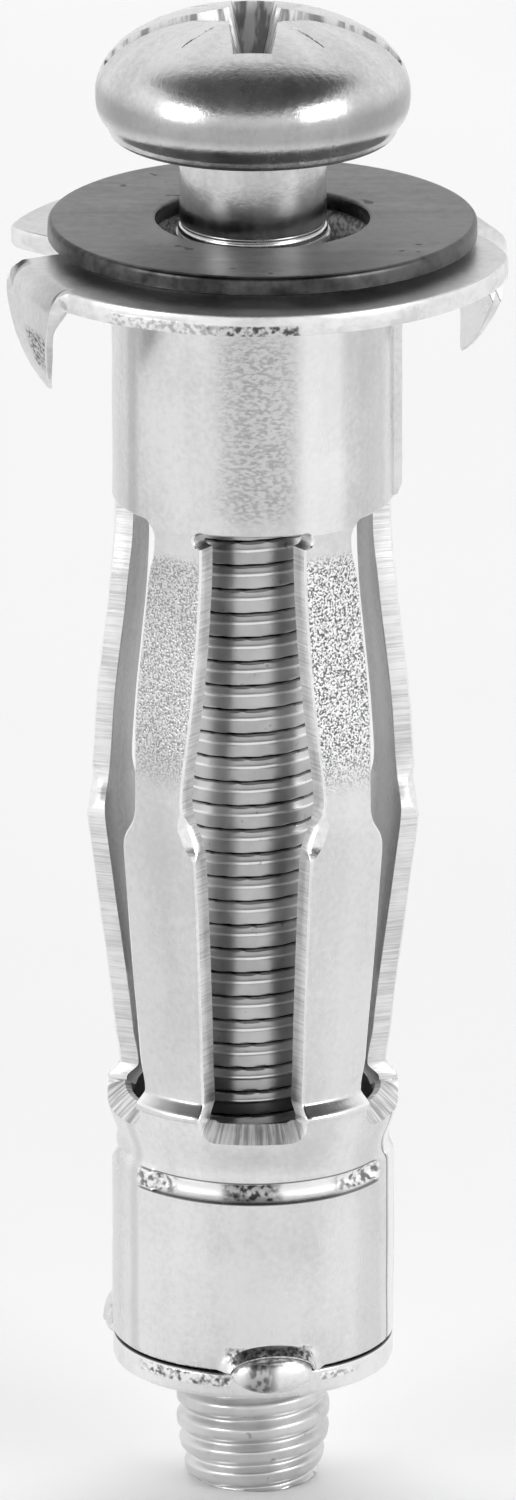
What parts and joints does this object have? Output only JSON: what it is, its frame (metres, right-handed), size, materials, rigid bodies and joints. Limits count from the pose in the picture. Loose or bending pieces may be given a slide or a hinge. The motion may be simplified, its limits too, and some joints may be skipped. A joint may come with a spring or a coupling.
{
  "type": "hollow wall anchor",
  "caption": "Folding sheet-steel sleeve anchor for hollow walls, with spiked flange, crimped nut, loose washer and cross-slot pan-head screw.",
  "frame": {"origin": "on the screw's axis at the flange's underside, where it meets the wall", "axes": "+Z along the screw's axis towards its head; -Y faces the viewer between two legs"},
  "size_m": [0.0162, 0.0162, 0.0488],
  "materials": {
    "screw_zinc": "bright zinc plating, satin to glossy",
    "sleeve_zinc": "bright zinc plating over pressed sheet, orange-peel where stretched",
    "nut_zinc": "bright zinc plating, satin",
    "washer_dark": "dark passivated steel, satin, tumbled"
  },
  "bodies": {
    "flange_collar": {"flange_collar": "sleeve_zinc"},
    "washer": {"washer": "washer_dark"},
    "screw": {"screw": "screw_zinc"},
    "leg_1_upper": {"leg_1_upper": "sleeve_zinc"},
    "leg_1_lower": {"leg_1_lower": "sleeve_zinc"},
    "leg_2_upper": {"leg_2_upper": "sleeve_zinc"},
    "leg_2_lower": {"leg_2_lower": "sleeve_zinc"},
    "leg_3_upper": {"leg_3_upper": "sleeve_zinc"},
    "leg_3_lower": {"leg_3_lower": "sleeve_zinc"},
    "leg_4_upper": {"leg_4_upper": "sleeve_zinc"},
    "leg_4_lower": {"leg_4_lower": "sleeve_zinc"},
    "leg_5_upper": {"leg_5_upper": "sleeve_zinc"},
    "leg_5_lower": {"leg_5_lower": "sleeve_zinc"},
    "nut_collar": {"lower_collar": "sleeve_zinc", "nut": "nut_zinc"}
  },
  "joints": [
    {"name": "screw_turn", "type": "hinge", "parent": "flange_collar", "child": "washer", "pos_m": [0, 0, 0], "axis": [0, 0, 1], "range_deg": [-1216, 4726]},
    {"name": "screw_travel", "type": "slide", "parent": "washer", "child": "screw", "axis": [0, 0, 1], "range_m": [-0.0027, 0.0105]},
    {"name": "leg_1_fold", "type": "hinge", "parent": "flange_collar", "child": "leg_1_upper", "pos_m": [-0.00263, -0.00362, -0.0079], "axis": [-0.809, 0.5878, 0], "range_deg": [0, 80]},
    {"name": "leg_1_knee", "type": "hinge", "parent": "leg_1_upper", "child": "leg_1_lower", "pos_m": [-0.00263, -0.00362, -0.0176], "axis": [-0.809, 0.5878, 0], "range_deg": [-160, 0]},
    {"name": "leg_2_fold", "type": "hinge", "parent": "flange_collar", "child": "leg_2_upper", "pos_m": [0.00263, -0.00362, -0.0079], "axis": [-0.809, -0.5878, 0], "range_deg": [0, 80]},
    {"name": "leg_2_knee", "type": "hinge", "parent": "leg_2_upper", "child": "leg_2_lower", "pos_m": [0.00263, -0.00362, -0.0176], "axis": [-0.809, -0.5878, 0], "range_deg": [-160, 0]},
    {"name": "leg_3_fold", "type": "hinge", "parent": "flange_collar", "child": "leg_3_upper", "pos_m": [0.00426, 0.00138, -0.0079], "axis": [0.309, -0.9511, 0], "range_deg": [0, 80]},
    {"name": "leg_3_knee", "type": "hinge", "parent": "leg_3_upper", "child": "leg_3_lower", "pos_m": [0.00426, 0.00138, -0.0176], "axis": [0.309, -0.9511, 0], "range_deg": [-160, 0]},
    {"name": "leg_4_fold", "type": "hinge", "parent": "flange_collar", "child": "leg_4_upper", "pos_m": [0, 0.00448, -0.0079], "axis": [1, 0, 0], "range_deg": [0, 80]},
    {"name": "leg_4_knee", "type": "hinge", "parent": "leg_4_upper", "child": "leg_4_lower", "pos_m": [0, 0.00448, -0.0176], "axis": [1, 0, 0], "range_deg": [-160, 0]},
    {"name": "leg_5_fold", "type": "hinge", "parent": "flange_collar", "child": "leg_5_upper", "pos_m": [-0.00426, 0.00138, -0.0079], "axis": [0.309, 0.9511, 0], "range_deg": [0, 80]},
    {"name": "leg_5_knee", "type": "hinge", "parent": "leg_5_upper", "child": "leg_5_lower", "pos_m": [-0.00426, 0.00138, -0.0176], "axis": [0.309, 0.9511, 0], "range_deg": [-160, 0]},
    {"name": "nut_collar_foot", "type": "hinge", "parent": "leg_1_lower", "child": "nut_collar", "pos_m": [-0.00263, -0.00362, -0.0273], "axis": [-0.809, 0.5878, 0], "range_deg": [0, 80]}
  ],
  "couplings": [
    {"joint": "screw_turn", "follows": "screw_travel", "rad_per_m": 7854},
    {"joint": "leg_1_knee", "follows": "leg_1_fold", "ratio": -2},
    {"joint": "leg_2_fold", "follows": "leg_1_fold", "ratio": 1},
    {"joint": "leg_2_knee", "follows": "leg_1_fold", "ratio": -2},
    {"joint": "leg_3_fold", "follows": "leg_1_fold", "ratio": 1},
    {"joint": "leg_3_knee", "follows": "leg_1_fold", "ratio": -2},
    {"joint": "leg_4_fold", "follows": "leg_1_fold", "ratio": 1},
    {"joint": "leg_4_knee", "follows": "leg_1_fold", "ratio": -2},
    {"joint": "leg_5_fold", "follows": "leg_1_fold", "ratio": 1},
    {"joint": "leg_5_knee", "follows": "leg_1_fold", "ratio": -2},
    {"joint": "nut_collar_foot", "follows": "leg_1_fold", "ratio": 1}
  ]
}
